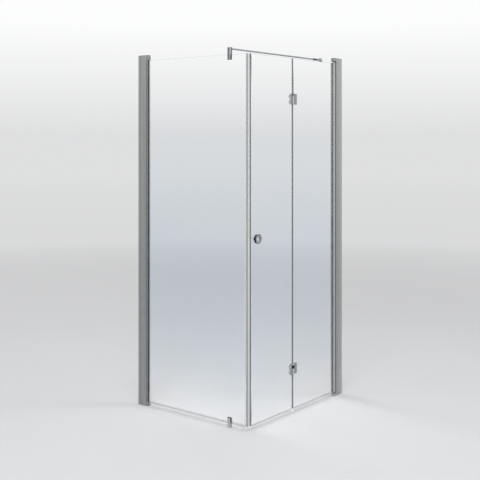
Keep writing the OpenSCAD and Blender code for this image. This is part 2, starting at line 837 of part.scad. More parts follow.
bar_start = -(mid + jaw_out - bar_inset);

module sleeve() {
    difference() {
        union() {
            x_bar(sleeve_r, sleeve_end + sleeve_nose, sleeve_end + sleeve_l);
            translate([sleeve_end, 0, 0]) rotate([0, 90, 0])
                cylinder(r1 = (bar_d / 2 + sleeve_r) / 2, r2 = sleeve_r, h = sleeve_nose);
            translate([0, 0, -tongue_t / 2]) linear_extrude(tongue_t) {
                rect(sleeve_end + sleeve_l - eps, -tongue_r, bar_l, tongue_r);
                translate([bar_l, 0]) circle(tongue_r);
            }
        }
        x_bar(bar_d / 2 + run_gap, sleeve_end - eps, sleeve_end + sleeve_hold + tip_gap);
        translate([bar_l, 0, -tongue_t]) cylinder(r = flange_pin_d / 2 + run_gap, h = 2 * tongue_t);
        translate([sleeve_end + sleeve_hold / 2, 0, 0])
            cylinder(r = bar_grub_d / 2 + press_gap, h = sleeve_r + eps);
    }
}

module at_flange() translate([-centre_x + door_side, -centre_y + bar_wall_v, bar_z]) children();

// the flange's disc and neck, turned from a half section: x is the radius, y the height off the wall
module flange_disc() {
    rotate([0, -90, 0]) rotate_extrude() {
        square([flange_r - flange_round, flange_t]);
        square([flange_r, flange_t - flange_round]);
        translate([flange_r - flange_round, flange_t - flange_round]) circle(flange_round);
        square([neck_r, flange_t + neck_l]);
    }
}

module flange_ears() {
    for (side = [-1, 1])
        translate([0, 0, side * (tongue_t / 2 + ear_gap + ear_t / 2) - ear_t / 2])
            linear_extrude(ear_t) {
                translate([-pin_off, 0]) circle(ear_r);
                rect(-pin_off, -ear_r, -flange_t - neck_l + eps, ear_r);
            }
}

// the pieces, one module a node

module side_wall_channel() color(chrome) at_side() wall_channel(side_depth);

module side_glass_profile() color(satin) at_side() difference() {
    up(profile_z0, profile_z1) side_insert_section();
    adjust_holes(side_front, mid, in_v);
}

module side_profile_screws() color(steel) at_side() adjusting_screws(side_front);

module side_top_cap() color(chrome) at_side() side_cap(profile_z1, overall_h);

module side_bottom_cap() color(chrome) at_side() side_cap(0, profile_z0);

module side_outer_gasket() color(rubber) at_side()
    outer_gasket(side_nose, gasket_d, out_v + nose_round);

module side_inner_gasket() color(clear_pvc) at_side() inner_gasket(side_nose, gasket_d);

module side_glass() color(glass) at_side() pane(side_edge_u, side_nose + pocket_d - end_gap);

module side_magnet_seal() color(clear_pvc) {
    at_side() up(glass_z0, glass_z1) side_seal_section();
    at_door() up(glass_z0, glass_z1) side_seal_head();
}

module side_magnet_strip() color(steel) at_door()
    up(glass_z0, glass_z1) magnet_square(magnet_face_u, -1);

module side_bottom_seal() color(clear_pvc) at_side() {
    bottom_seal(side_edge_u + seal_grip + soft_gap, clamp_u - clamp_w / 2 - soft_gap);
    bottom_seal(clamp_u + clamp_w / 2 + soft_gap, side_nose - 2 * gasket_t);
}

module bar_clamp() color(chrome) difference() {
    at_side() difference() {
        jaw_block(clamp_z0, clamp_top);
        jaw_slot(clamp_z0 - eps, glass_z1 + clamp_pad_t);
        jaw_grub_holes(clamp_grub_z);
    }
    along_bar() {
        x_bar(bar_d / 2 + run_gap, bar_start - run_gap, glass_t + jaw_in + bar_d);
        cylinder(r = bar_grub_d / 2 + press_gap, h = clamp_top - bar_z + eps);
    }
}

module bar_clamp_pad() color(rubber) at_side() difference() {
    translate([clamp_u - clamp_w / 2, -clamp_pad_t, clamp_z0 + edge_chamfer])
        cube([clamp_w, glass_t + 2 * clamp_pad_t, jaw_grip + clamp_pad_t - edge_chamfer]);
    translate([clamp_u - clamp_w / 2 - eps, 0, clamp_z0 - eps])
        cube([clamp_w + 2 * eps, glass_t, jaw_grip + eps]);
}

module bar_clamp_screws() color(steel) {
    at_side() jaw_grubs(clamp_grub_z);
    along_bar() difference() {
        translate([0, 0, bar_d / 2 + run_gap])
            cylinder(d = bar_grub_d, h = clamp_top - bar_z - bar_d / 2 - tip_gap);
        translate([0, 0, clamp_top - bar_z - tip_gap - grub_socket_d])
            hex_socket(bar_grub_d, grub_socket_d);
    }
}

module stabiliser_bar() color(chrome) along_bar() difference() {
    x_bar(bar_d / 2, bar_start, sleeve_end + sleeve_hold);
    x_bar(bar_d / 2 - bar_wall, bar_start - eps, sleeve_end + sleeve_hold + eps);
}

module bar_sleeve() color(chrome) along_bar() sleeve();

module bar_sleeve_screw() color(steel) along_bar()
    translate([sleeve_end + sleeve_hold / 2, 0, bar_d / 2 + run_gap]) difference() {
        cylinder(d = bar_grub_d, h = sleeve_r - bar_d / 2 - 2 * run_gap);
        translate([0, 0, sleeve_r - bar_d / 2 - 2 * run_gap - grub_socket_d])
            hex_socket(bar_grub_d, grub_socket_d);
    }

module bar_wall_flange() color(chrome) at_flange() difference() {
    union() {
        flange_disc();
        flange_ears();
    }
    translate([-pin_off, 0, -flange_r]) cylinder(r = flange_pin_d / 2 + run_gap, h = 2 * flange_r);
    for (side = [-1, 1])
        u_bar(side * flange_hole_gap / 2, 0, flange_hole_d / 2, -flange_t - eps, eps);
}

module bar_flange_pin() color(steel) at_flange() translate([-pin_off, 0, -tongue_t / 2 - ear_t])
    cylinder(d = flange_pin_d, h = tongue_t + 2 * ear_t);

module floor_bracket() color(chrome) at_side() difference() {
    jaw_block(0, bracket_top);
    jaw_slot(glass_z0 - clamp_pad_t, bracket_top + eps);
    jaw_grub_holes(bracket_grub_z);
    translate([clamp_u, mid, -eps]) cylinder(d = floor_hole_d, h = glass_z0);
    translate([clamp_u, mid, glass_z0 - clamp_pad_t - floor_head_d / 2])
        cylinder(r1 = 0, r2 = floor_head_d / 2, h = floor_head_d / 2);
}

module floor_bracket_pad() color(rubber) at_side() difference() {
    translate([clamp_u - clamp_w / 2, -clamp_pad_t, glass_z0 - clamp_pad_t])
        cube([clamp_w, glass_t + 2 * clamp_pad_t, bracket_top - glass_z0 + clamp_pad_t]);
    translate([clamp_u - clamp_w / 2 - eps, 0, glass_z0])
        cube([clamp_w + 2 * eps, glass_t, bracket_top]);
}

module floor_bracket_screws() color(steel) at_side() jaw_grubs(bracket_grub_z);

module door_wall_channel() color(chrome) at_door() wall_channel(door_side);

module door_carrier_profile() color(satin) at_door() difference() {
    up(profile_z0, profile_z1) carrier_section();
    adjust_holes(door_front, mid, in_v);
}

module door_profile_screws() color(steel) at_door() adjusting_screws(door_front);

module pivot_gap_seal() color(rubber) at_door() up(profile_z0, profile_z1) gap_seal_section();

module bottom_pivot_block() color(chrome) at_door() pivot_block(profile_z0);

module top_pivot_block() color(chrome) at_door() at_top() pivot_block(overall_h - profile_z1);

module pivot_bushes() color(rubber) at_door() {
    pivot_bush(profile_z0);
    at_top() pivot_bush(overall_h - profile_z1);
}

module pivot_profile() color(chrome) at_door() difference() {
    up(profile_z0, profile_z1) pivot_section();
    translate([pivot_u, mid, profile_z0 - eps])
        cylinder(r = pin_d / 2 + press_gap, h = profile_h + 2 * eps);
}

module pivot_pins() color(steel) at_door() {
    pivot_pin(profile_z0);
    at_top() pivot_pin(overall_h - profile_z1);
}

module pivot_outer_gasket() color(rubber) at_door()
    outer_gasket(pivot_u - pivot_nose, pivot_gasket_d, pivot_cover_v);

module pivot_inner_gasket() color(clear_pvc) at_door()
    inner_gasket(pivot_u - pivot_nose, pivot_gasket_d);

module wall_panel_glass() color(glass) at_door() difference() {
    pane(wall_edge_u, pane_end_u);
    for (z = hinge_z) hinge_holes(1, z, glass_hole_d / 2, -eps, glass_t + eps);
}

module wall_panel_bottom_seal() color(clear_pvc) at_door()
    bottom_seal(wall_edge_u + seal_grip + soft_gap, pivot_u - pivot_nose - 2 * gasket_t);

// the seal on the wall panel's edge runs in three lengths, above, between and below the hinges
module fold_seal() color(smoke_pvc) at_door() {
    stops = [glass_z0, hinge_z[0] - hinge_h / 2, hinge_z[0] + hinge_h / 2,
             hinge_z[1] - hinge_h / 2, hinge_z[1] + hinge_h / 2, glass_z1];
    for (i = [0, 2, 4])
        up(stops[i] + (i == 0 ? 0 : soft_gap), stops[i + 1] - (i == 4 ? 0 : soft_gap)) {
            grip_section(wall_edge_u);
            difference() {
                rect(lead_edge_u + soft_gap, 0, wall_edge_u - seal_wall, glass_t);
                rect(lead_edge_u + soft_gap + seal_wall, seal_wall,
                     wall_edge_u - 2 * seal_wall, glass_t - seal_wall);
            }
        }
}

module upper_hinge_wall_leaf() color(chrome) at_door() hinge_leaf(1, hinge_z[1], end_knuckles);

module lower_hinge_wall_leaf() color(chrome) at_door() hinge_leaf(1, hinge_z[0], end_knuckles);

module wall_leaf_inner_discs() color(chrome) at_door() hinge_discs(1);

module wall_leaf_pads() color(smoke_pvc) at_door() hinge_pads(1);

module wall_leaf_screws() color(steel) at_door() hinge_screws(1);

module hinge_pins() color(steel) at_door() for (z = hinge_z)
    translate([seam_u, -fold_out, z - hinge_h / 2 + pin_inset])
        cylinder(d = hinge_pin_d, h = hinge_h - 2 * pin_inset);

module lead_panel_glass() color(glass) at_door() difference() {
    pane(door_edge_u, lead_edge_u);
    for (z = hinge_z) hinge_holes(-1, z, glass_hole_d / 2, -eps, glass_t + eps);
    v_bar(knob_u, knob_z, glass_hole_d / 2, -eps, glass_t + eps);
}

module lead_panel_bottom_seal() color(clear_pvc) at_door()
    bottom_seal(door_edge_u + seal_grip + soft_gap, lead_edge_u);

module door_magnet_seal() color(clear_pvc) at_door() up(glass_z0, glass_z1) door_seal_section();

module door_magnet_strip() color(rubber) at_door()
    up(glass_z0, glass_z1) magnet_square(door_head_u, 1);

module upper_hinge_lead_leaf() color(chrome) at_door() hinge_leaf(-1, hinge_z[1], mid_knuckle);

module lower_hinge_lead_leaf() color(chrome) at_door() hinge_leaf(-1, hinge_z[0], mid_knuckle);

module lead_leaf_inner_discs() color(chrome) at_door() hinge_discs(-1);

module lead_leaf_pads() color(smoke_pvc) at_door() hinge_pads(-1);

module lead_leaf_screws() color(steel) at_door() hinge_screws(-1);

module outer_knob() color(chrome) at_door() at_outer_knob() knob(knob_r, knob_h);

module inner_knob() color(chrome) at_door() at_inner_knob() knob(inner_knob_r, inner_knob_h);

module knob_washers() color(clear_pvc) at_door() {
    translate([0, washer_t, 0]) at_outer_knob() knob_washer(knob_r - knob_rim);
    translate([0, -washer_t, 0]) at_inner_knob() knob_washer(inner_knob_r - knob_rim);
}

module knob_stud() color(steel) at_door()
    v_bar(knob_u, knob_z, stud_d / 2, tip_gap - washer_t - knob_h * stud_share,
          glass_t + washer_t + inner_knob_h * stud_share - tip_gap);

side_wall_channel();
side_glass_profile();
side_profile_screws();
side_top_cap();
side_bottom_cap();
side_outer_gasket();
side_inner_gasket();
side_glass();
side_magnet_seal();
side_magnet_strip();
side_bottom_seal();
bar_clamp();
bar_clamp_pad();
bar_clamp_screws();
stabiliser_bar();
bar_sleeve();
bar_sleeve_screw();
bar_wall_flange();
bar_flange_pin();
floor_bracket();
floor_bracket_pad();
floor_bracket_screws();
door_wall_channel();
door_carrier_profile();
door_profile_screws();
pivot_gap_seal();
top_pivot_block();
bottom_pivot_block();
pivot_bushes();
pivot_profile();
pivot_pins();
pivot_outer_gasket();
pivot_inner_gasket();
wall_panel_glass();
wall_panel_bottom_seal();
fold_seal();
upper_hinge_wall_leaf();
lower_hinge_wall_leaf();
wall_leaf_inner_discs();
wall_leaf_pads();
wall_leaf_screws();
hinge_pins();
lead_panel_glass();
lead_panel_bottom_seal();
door_magnet_seal();
door_magnet_strip();
upper_hinge_lead_leaf();
lower_hinge_lead_leaf();
lead_leaf_inner_discs();
lead_leaf_pads();
lead_leaf_screws();
outer_knob();
inner_knob();
knob_washers();
knob_stud();
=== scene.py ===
import json
import math
import bpy
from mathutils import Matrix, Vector


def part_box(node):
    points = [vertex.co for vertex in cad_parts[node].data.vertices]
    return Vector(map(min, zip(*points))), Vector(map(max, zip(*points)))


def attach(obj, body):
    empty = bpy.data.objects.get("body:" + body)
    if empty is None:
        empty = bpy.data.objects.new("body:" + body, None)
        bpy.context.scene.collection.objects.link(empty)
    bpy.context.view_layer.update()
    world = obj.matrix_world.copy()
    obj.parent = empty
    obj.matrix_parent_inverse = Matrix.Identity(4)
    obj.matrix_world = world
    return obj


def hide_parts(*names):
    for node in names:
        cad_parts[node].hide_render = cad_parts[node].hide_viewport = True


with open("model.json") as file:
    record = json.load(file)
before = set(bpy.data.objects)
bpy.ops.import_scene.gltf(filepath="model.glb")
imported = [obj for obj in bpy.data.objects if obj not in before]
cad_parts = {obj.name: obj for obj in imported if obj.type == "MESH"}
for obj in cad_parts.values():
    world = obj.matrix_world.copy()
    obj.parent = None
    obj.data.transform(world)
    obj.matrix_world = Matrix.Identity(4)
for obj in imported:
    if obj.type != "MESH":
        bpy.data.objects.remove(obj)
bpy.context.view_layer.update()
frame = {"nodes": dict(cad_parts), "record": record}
print("frame loaded:", len(frame["nodes"]), "nodes")

# camera: level, with the picture's window shifted down as in an architectural shot

shot = {
    "place": (-4.083, -3.2345, 1.539),  # fitted to the two vanishing points
    "heading": (0.782, 0.623, 0.0),
    "lens": 66.64,
    "sensor": 36.0,
    "shiftY": -0.2167,
    "clipEnd": 200,
}


def addCamera(s):
    data = bpy.data.cameras.new("shotCamera")
    data.lens = s["lens"]
    data.sensor_width = s["sensor"]
    data.shift_y = s["shiftY"]
    data.clip_end = s["clipEnd"]
    camera = bpy.data.objects.new("shotCamera", data)
    camera.location = s["place"]
    camera.rotation_euler = Vector(s["heading"]).to_track_quat("-Z", "Y").to_euler()
    bpy.context.collection.objects.link(camera)
    bpy.context.scene.camera = camera


addCamera(shot)
print("camera placed")


# node helpers

def newMaterial(name):
    mat = bpy.data.materials.new(name)
    mat.use_nodes = True
    tree = mat.node_tree
    tree.nodes.clear()
    out = tree.nodes.new("ShaderNodeOutputMaterial")
    return mat, tree, out


def addNode(tree, kind, **values):
    node = tree.nodes.new(kind)
    for key, value in values.items():
        setattr(node, key, value)
    return node


def setInputs(node, values):
    for name, value in values.items():
        node.inputs[name].default_value = value


def objectPlace(tree, stretch=(1, 1, 1)):
    coord = addNode(tree, "ShaderNodeTexCoord")
    mapping = addNode(tree, "ShaderNodeMapping")
    setInputs(mapping, {"Scale": stretch})
    tree.links.new(coord.outputs["Object"], mapping.inputs["Vector"])
    return mapping.outputs["Vector"]


def noiseAt(tree, vector, scale, detail=3.0, rough=0.55):
    noise = addNode(tree, "ShaderNodeTexNoise")
    setInputs(noise, {"Scale": scale, "Detail": detail, "Roughness": rough})
    tree.links.new(vector, noise.inputs["Vector"])
    return noise.outputs["Fac"]


def remap(tree, value, fromMin, fromMax, toMin, toMax):
    node = addNode(tree, "ShaderNodeMapRange")
    setInputs(node, {"From Min": fromMin, "From Max": fromMax, "To Min": toMin, "To Max": toMax})
    tree.links.new(value, node.inputs["Value"])
    return node.outputs["Result"]


def combine(tree, operation, first, second):
    node = addNode(tree, "ShaderNodeMath", operation=operation)
    tree.links.new(first, node.inputs[0])
    tree.links.new(second, node.inputs[1])
    return node.outputs[0]


def mixColours(tree, factor, low, high):
    node = addNode(tree, "ShaderNodeMix", data_type="RGBA")
    node.inputs[6].default_value = (*low, 1)
    node.inputs[7].default_value = (*high, 1)
    tree.links.new(factor, node.inputs[0])
    return node.outputs[2]


def alongAxis(tree, vector, axis):
    split = addNode(tree, "ShaderNodeSeparateXYZ")
    tree.links.new(vector, split.inputs[0])
    return split.outputs[axis]


def isPast(tree, value, limit):
    past = addNode(tree, "ShaderNodeMath", operation="GREATER_THAN")
    past.inputs[1].default_value = limit
    tree.links.new(value, past.inputs[0])
    return past.outputs[0]


def pastLimit(tree, axis, limit):
    return isPast(tree, alongAxis(tree, objectPlace(tree), axis), limit)


def addBump(tree, height, strength, distance):
    bump = addNode(tree, "ShaderNodeBump")
    setInputs(bump, {"Strength": strength, "Distance": distance})
    tree.links.new(height, bump.inputs["Height"])
    return bump.outputs["Normal"]


def mixShaders(tree, factor, first, second):
    mix = addNode(tree, "ShaderNodeMixShader")
    if isinstance(factor, float):
        mix.inputs[0].default_value = factor
    else:
        tree.links.new(factor, mix.inputs[0])
    tree.links.new(first, mix.inputs[1])
    tree.links.new(second, mix.inputs[2])
    return mix.outputs[0]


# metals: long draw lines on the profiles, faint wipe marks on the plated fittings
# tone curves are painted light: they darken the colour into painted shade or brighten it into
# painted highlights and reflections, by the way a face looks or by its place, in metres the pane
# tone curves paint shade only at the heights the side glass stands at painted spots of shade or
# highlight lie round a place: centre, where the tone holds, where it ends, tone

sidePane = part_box("side_glass")
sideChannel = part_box("side_wall_channel")
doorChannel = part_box("door_wall_channel")
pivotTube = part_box("pivot_profile")
paneHeights = [corner[2] for corner in sidePane]
blockY = sum(corner[1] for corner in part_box("bar_clamp")) / 2  # the floor bracket's middle too
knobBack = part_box("outer_knob")[1][1]

# places of the painted spots: painted shadow on the hinge plates, painted highlight on the knob's
# face
paintedSpotPlaces = {
    "plateInset": 0.010,  # from the hinge plate's left edge
    "plateDepth": 0.005,  # behind its outer face
    "knobInset": 0.003,   # to the left of the knob's middle
}


def hingeShadowSpot(node, down):
    low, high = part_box(node)
    return (low[0] + paintedSpotPlaces["plateInset"], low[1] + paintedSpotPlaces["plateDepth"], high[2] - down)


def knobHighlightSpot(node):
    low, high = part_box(node)
    return ((low[0] + high[0]) / 2 - paintedSpotPlaces["knobInset"], low[1], (low[2] + high[2]) / 2)


channelMetal = {"low": (0.375, 0.378, 0.375), "high": (0.43, 0.434, 0.43), "rough": (0.20, 0.32),
                "stretch": (1, 1, 0.004), "scale": 900, "bump": 0.08, "reflectionBands": 0.16}
satinMetal = {"low": (0.27, 0.272, 0.272), "high": (0.32, 0.323, 0.323), "rough": (0.34, 0.46),
              "stretch": (1, 1, 0.004), "scale": 1100, "bump": 0.14, "reflectionBands": 0.10}
platedMetal = {"rough": (0.10, 0.20), "stretch": (1, 1, 1), "scale": 120, "bump": 0.02,
               "reflectionBands": 0.0}
fastenerMetal = {"rough": (0.24, 0.40), "stretch": (1, 1, 1), "scale": 700, "bump": 0.08,
                 "reflectionBands": 0.0}
blockMetal = platedMetal | {
    "low": (0.36, 0.368, 0.375), "high": (0.42, 0.428, 0.435),
    # painted shade at the pane heights: faces not turned along X, and the block's near side towards
    # -Y, go almost black
    "paintedPaneShade": [("Normal", "X", [(-1.0, 1.0), (-0.9, 1.0), (-0.7, 0.02),
                                   (0.7, 0.02), (0.9, 1.0), (1.0, 1.0)]),
                  ("Object", "Y", [(blockY - 0.013, 0.02), (blockY - 0.0108, 0.05),
                                   (blockY - 0.0078, 1.0), (blockY + 0.013, 1.0)])]}
# painted highlight: faces turned towards -Y are brightened
paintedFrontSheen = ("Normal", "Y", [(-1.0, 1.24), (-0.6, 1.1), (-0.2, 1.0), (1.0, 1.0)])

metals = {
    # painted highlight on the pivot profile's front and nose, painted shade where its round back
    # turns away
    "pivot_tube": channelMetal | {
        "paintedTones": [paintedFrontSheen,
                  ("Object", "X", [(pivotTube[0][0], 1.25), (pivotTube[0][0] + 0.0115, 1.04),
                                   (pivotTube[0][0] + 0.014, 0.58), (pivotTube[1][0], 0.55)])]},
    # painted light: a bright strip along the 11 mm next to the channel's glass end, a little darker
    # towards the wall
    "side_channel": channelMetal | {
        "paintedTones": [("Object", "Y", [(sideChannel[0][1] - 0.014, 0.86), (sideChannel[0][1], 0.88),
                                   (sideChannel[0][1] + 0.0006, 1.08),
                                   (sideChannel[0][1] + 0.011, 1.08),
                                   (sideChannel[0][1] + 0.013, 1.0), (sideChannel[1][1], 0.96)])]},
    # painted light and shade: upright bands across the channel's width, for the reflections on it
    "door_channel": channelMetal | {
        "paintedTones": [paintedFrontSheen,
                  ("Object", "X", [(doorChannel[0][0], 1.08), (doorChannel[0][0] + 0.006, 1.05),
                                   (doorChannel[0][0] + 0.010, 0.94),
                                   (doorChannel[0][0] + 0.019, 0.96),
                                   (doorChannel[0][0] + 0.026, 1.0),
                                   (doorChannel[0][0] + 0.040, 1.0),
                                   (doorChannel[0][0] + 0.044, 1.15),
                                   (doorChannel[0][0] + 0.049, 1.15),
                                   (doorChannel[0][0] + 0.052, 0.97), (doorChannel[1][0], 0.97)])]},
    "satin_profile": satinMetal,
    # painted highlight on the part of the profile behind the side glass
    "side_profile": satinMetal | {
        "paintedTones": [("Object", "X", [(sidePane[0][0], 1.0), (sidePane[1][0], 1.0),
                                   (sidePane[1][0] + 0.0004, 2.3),
                                   (sidePane[1][0] + 0.01, 2.3)])]},
    "chrome_fitting": platedMetal | {
        "low": (0.33, 0.338, 0.345), "high": (0.39, 0.398, 0.405), "rough": (0.08, 0.18),
        # painted highlight on faces turned to -X, painted shade on faces turned to +X
        "paintedTones": [("Normal", "X", [(-1.0, 1.5), (-0.55, 2.1), (-0.2, 1.0),
                                   (0.2, 1.0), (0.55, 0.3), (1.0, 0.6)])],
        # painted shadow in a recess beside each hinge barrel
        "paintedSpots": [(hingeShadowSpot("upper_hinge_wall_leaf", 0.003), 0.009, 0.013, 0.22),
                  (hingeShadowSpot("lower_hinge_wall_leaf", 0.0185), 0.0105, 0.0145, 0.05)]},
    "chrome_bar": platedMetal | {
        "low": (0.40, 0.41, 0.42), "high": (0.47, 0.48, 0.49), "stretch": (0.02, 1, 1),
        "scale": 500, "bump": 0.03},
    "clamp_chrome": blockMetal | {
        # painted highlight on the clamp's near side, painted shade across its middle and on faces
        # turned to -Y
        "paintedTones": [("Object", "Y", [(blockY - 0.013, 1.6), (blockY - 0.009, 1.6),
                                   (blockY - 0.004, 1.0), (blockY + 0.001, 0.42),
                                   (blockY + 0.005, 0.40), (blockY + 0.009, 0.75),
                                   (blockY + 0.013, 0.75)]),
                  ("Normal", "Y", [(-1.0, 0.32), (-0.8, 0.32), (-0.5, 1.0), (1.0, 1.0)])]},
    "bracket_chrome": blockMetal | {
        # painted highlight across the bracket's middle, painted shade on its top faces and a little
        # on faces turned to -Y
        "paintedTones": [("Object", "Y", [(blockY - 0.013, 1.1), (blockY - 0.009, 1.15),
                                   (blockY - 0.004, 1.6), (blockY + 0.001, 1.45),
                                   (blockY + 0.004, 1.2), (blockY + 0.013, 1.15)]),
                  ("Normal", "Y", [(-1.0, 0.9), (-0.8, 0.9), (-0.5, 1.0), (1.0, 1.0)]),
                  ("Normal", "Z", [(-1.0, 1.0), (0.5, 1.0), (0.8, 0.2), (1.0, 0.2)])]},
    # painted shade: a darker copy of the plated chrome on the bar's sleeve
    "chrome_sleeve": platedMetal | {
        "low": (0.125, 0.129, 0.134), "high": (0.175, 0.180, 0.187), "rough": (0.12, 0.22),
        "scale": 160},
    "chrome_knob": platedMetal | {
        "low": (0.34, 0.348, 0.355), "high": (0.39, 0.398, 0.405), "rough": (0.08, 0.16),
        "scale": 160,
        # painted shade on the knob's left side, painted highlight on its right side and in a band
        # next to the glass
        "paintedTones": [("Normal", "X", [(-1.0, 0.05), (-0.6, 0.10), (-0.34, 0.6),
                                   (-0.1, 1.05), (0.1, 1.15), (0.34, 1.45),
                                   (0.6, 1.5), (1.0, 0.8)]),
                  ("Object", "Y", [(knobBack - 0.012, 1.0), (knobBack - 0.0062, 1.0),
                                   (knobBack - 0.0048, 3.0), (knobBack, 3.0),
                                   (knobBack + 0.002, 1.0), (knobBack + 0.02, 1.0)])],
        # painted highlight in the dish, left of the knob's middle
        "paintedSpots": [(knobHighlightSpot("outer_knob"), 0.005, 0.010, 2.5)]},
    "steel_fastener": fastenerMetal | {"low": (0.34, 0.345, 0.35), "high": (0.46, 0.465, 0.47)},
    "bright_fastener": fastenerMetal | {"low": (0.84, 0.845, 0.85), "high": (0.90, 0.905, 0.91)},
}

metalMarks = {
    "wipe": (6.0, 4.0),        # scale and detail of the noise, here and below
    "reflectionBands": (130.0, 1.0),     # painted upright reflections
    "bandSpan": (0.35, 0.65),
    "roughSpan": (0.7, 1.3),
    "bumpDepth": 0.0002,
    "brightest": 3.0,          # the top of a tone curve
}


# a curve of painted light along one axis of a face's normal or of its place
def paintedToneOf(tree, source, axis, stops):
    coord = addNode(tree, "ShaderNodeTexCoord")
    paintedTones = addNode(tree, "ShaderNodeFloatCurve")
    paintedTones.mapping.clip_min_x, paintedTones.mapping.clip_max_x = stops[0][0], stops[-1][0]
    paintedTones.mapping.clip_min_y, paintedTones.mapping.clip_max_y = 0.0, metalMarks["brightest"]
    paintedTones.mapping.extend = "HORIZONTAL"
    curve = paintedTones.mapping.curves[0]
    curve.points[0].location = stops[0]
    curve.points[1].location = stops[-1]
    for stop in stops[1:-1]:
        curve.points.new(*stop)
    for point in curve.points:
        point.handle_type = "VECTOR"
    paintedTones.mapping.update()
    tree.links.new(alongAxis(tree, coord.outputs[source], axis), paintedTones.inputs["Value"])
    return paintedTones.outputs["Value"]


# a painted spot of shade or highlight round a centre
def paintedSpotOf(tree, centre, inner, outer, tone):
    away = addNode(tree, "ShaderNodeVectorMath", operation="DISTANCE")
    tree.links.new(objectPlace(tree), away.inputs[0])
    away.inputs[1].default_value = centre
    return remap(tree, away.outputs["Value"], inner, outer, tone, 1.0)


def heightWithin(tree, low, high):
    return combine(tree, "SUBTRACT", pastLimit(tree, "Z", low), pastLimit(tree, "Z", high))


def scaleColour(tree, colour, factor):
    scaled = addNode(tree, "ShaderNodeVectorMath", operation="SCALE")
    tree.links.new(colour, scaled.inputs[0])
    tree.links.new(factor, scaled.inputs["Scale"])
    return scaled.outputs[0]


def keepWithin(tree, factor, within):
    kept = addNode(tree, "ShaderNodeMix")
    kept.inputs["A"].default_value = 1.0
    tree.links.new(within, kept.inputs["Factor"])
    tree.links.new(factor, kept.inputs["B"])
    return kept.outputs["Result"]


def makeMetal(name, m):
    mat, tree, out = newMaterial(name)
    grain = noiseAt(tree, objectPlace(tree, m["stretch"]), m["scale"])
    wipe = noiseAt(tree, objectPlace(tree), *metalMarks["wipe"])
    metal = addNode(tree, "ShaderNodeBsdfPrincipled")
    setInputs(metal, {"Metallic": 1.0})
    colour = mixColours(tree, grain, m["low"], m["high"])
    # painted reflections: upright bands dim the colour
    if m["reflectionBands"]:
        reflectionBands = noiseAt(tree, objectPlace(tree, m["stretch"]), *metalMarks["reflectionBands"])
        dim = remap(tree, reflectionBands, *metalMarks["bandSpan"], 1.0 - m["reflectionBands"], 1.0)
        colour = scaleColour(tree, colour, dim)
    # painted light: tone curves scale the colour into painted shade and painted highlights
    for tone in m.get("paintedTones", []):
        colour = scaleColour(tree, colour, paintedToneOf(tree, *tone))
    # painted shade kept to the pane heights
    for tone in m.get("paintedPaneShade", []):
        within = heightWithin(tree, *paneHeights)
        colour = scaleColour(tree, colour, keepWithin(tree, paintedToneOf(tree, *tone), within))
    # painted spots of shade and highlight
    for spot in m.get("paintedSpots", []):
        colour = scaleColour(tree, colour, paintedSpotOf(tree, *spot))
    tree.links.new(colour, metal.inputs["Base Color"])
    marks = combine(tree, "ADD", grain, wipe)
    rough = remap(tree, marks, *metalMarks["roughSpan"], *m["rough"])
    tree.links.new(rough, metal.inputs["Roughness"])
    bump = addBump(tree, grain, m["bump"], metalMarks["bumpDepth"])
    tree.links.new(bump, metal.inputs["Normal"])
    tree.links.new(metal.outputs[0], out.inputs["Surface"])
    return mat


# solid plastics and rubber: a fine moulded grain with a little variation of colour

plastics = {
    "profile_cap": {"low": (0.21, 0.215, 0.22), "high": (0.26, 0.265, 0.27),
                    "rough": (0.30, 0.42), "scale": 1400, "bump": 0.10},
    "pale_cap": {"low": (0.34, 0.345, 0.35), "high": (0.40, 0.405, 0.41),
                 "rough": (0.30, 0.42), "scale": 1400, "bump": 0.10},
    "black_gasket": {"low": (0.022, 0.025, 0.027), "high": (0.036, 0.040, 0.043),
                     "rough": (0.55, 0.72), "scale": 900, "bump": 0.18},
    "slate_gasket": {"low": (0.125, 0.133, 0.140), "high": (0.155, 0.165, 0.172),
                     "rough": (0.50, 0.66), "scale": 900, "bump": 0.16},
    "magnet_strip": {"low": (0.060, 0.062, 0.066), "high": (0.095, 0.098, 0.103),
                     "rough": (0.60, 0.75), "scale": 1500, "bump": 0.20},
    "pivot_nylon": {"low": (0.030, 0.031, 0.034), "high": (0.050, 0.051, 0.055),
                    "rough": (0.42, 0.58), "scale": 1200, "bump": 0.12},
}

plasticMarks = {"patch": (9.0, 4.0), "roughSpan": (0.3, 0.7), "bumpDepth": 0.0002}


def makePlastic(name, p):
    mat, tree, out = newMaterial(name)
    place = objectPlace(tree)
    grain = noiseAt(tree, place, p["scale"])
    patch = noiseAt(tree, place, *plasticMarks["patch"])
    plastic = addNode(tree, "ShaderNodeBsdfPrincipled")
    tree.links.new(mixColours(tree, patch, p["low"], p["high"]), plastic.inputs["Base Color"])
    rough = remap(tree, patch, *plasticMarks["roughSpan"], *p["rough"])
    tree.links.new(rough, plastic.inputs["Roughness"])
    bump = addBump(tree, grain, p["bump"], plasticMarks["bumpDepth"])
    tree.links.new(bump, plastic.inputs["Normal"])
    tree.links.new(plastic.outputs[0], out.inputs["Surface"])
    return mat


# soft vinyl seals: clear grips on the glass, with tinted or milky strips run into them

sideEdge = sidePane[0]
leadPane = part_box("lead_panel_glass")
leadEdge = leadPane[0]
seamLeft = leadPane[1][0]
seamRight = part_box("wall_panel_glass")[0][0]
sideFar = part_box("side_outer_gasket")[0][1]

